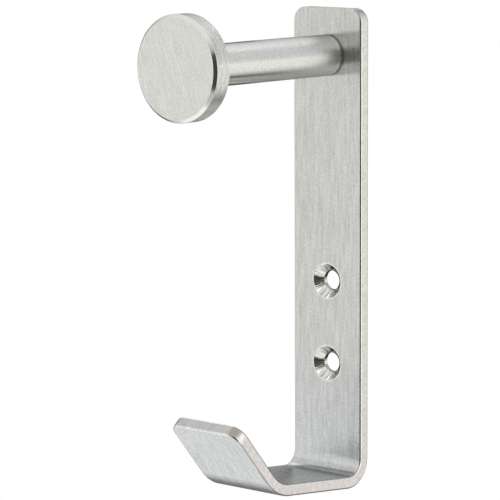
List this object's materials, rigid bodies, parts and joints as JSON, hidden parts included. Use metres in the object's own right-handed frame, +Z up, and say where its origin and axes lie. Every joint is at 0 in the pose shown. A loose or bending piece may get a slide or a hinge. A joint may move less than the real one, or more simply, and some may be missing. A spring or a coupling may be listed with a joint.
{
  "type": "double coat hook",
  "caption": "Wall hook for coats: a flat steel bar bent up into a lower hook, with a round-headed peg above it, fixed by countersunk screws through the bar.",
  "frame": {"origin": "on the wall face, halfway between the two wall-screw holes", "axes": "+Z up along the bar, -Y out of the wall towards the user, +X across the bar"},
  "size_m": [0.0294, 0.067, 0.1382],
  "materials": {
    "brushed_bar": "stainless steel brushed along the bar",
    "turned_post": "stainless steel with fine turning lines round it",
    "brushed_head": "stainless steel brushed across the face and round the rim",
    "screw_steel": "plain stainless steel"
  },
  "bodies": {
    "root": {"hook_plate": "brushed_bar", "peg_post": "turned_post", "peg_head": "brushed_head", "peg_screw": "screw_steel"}
  },
  "joints": []
}
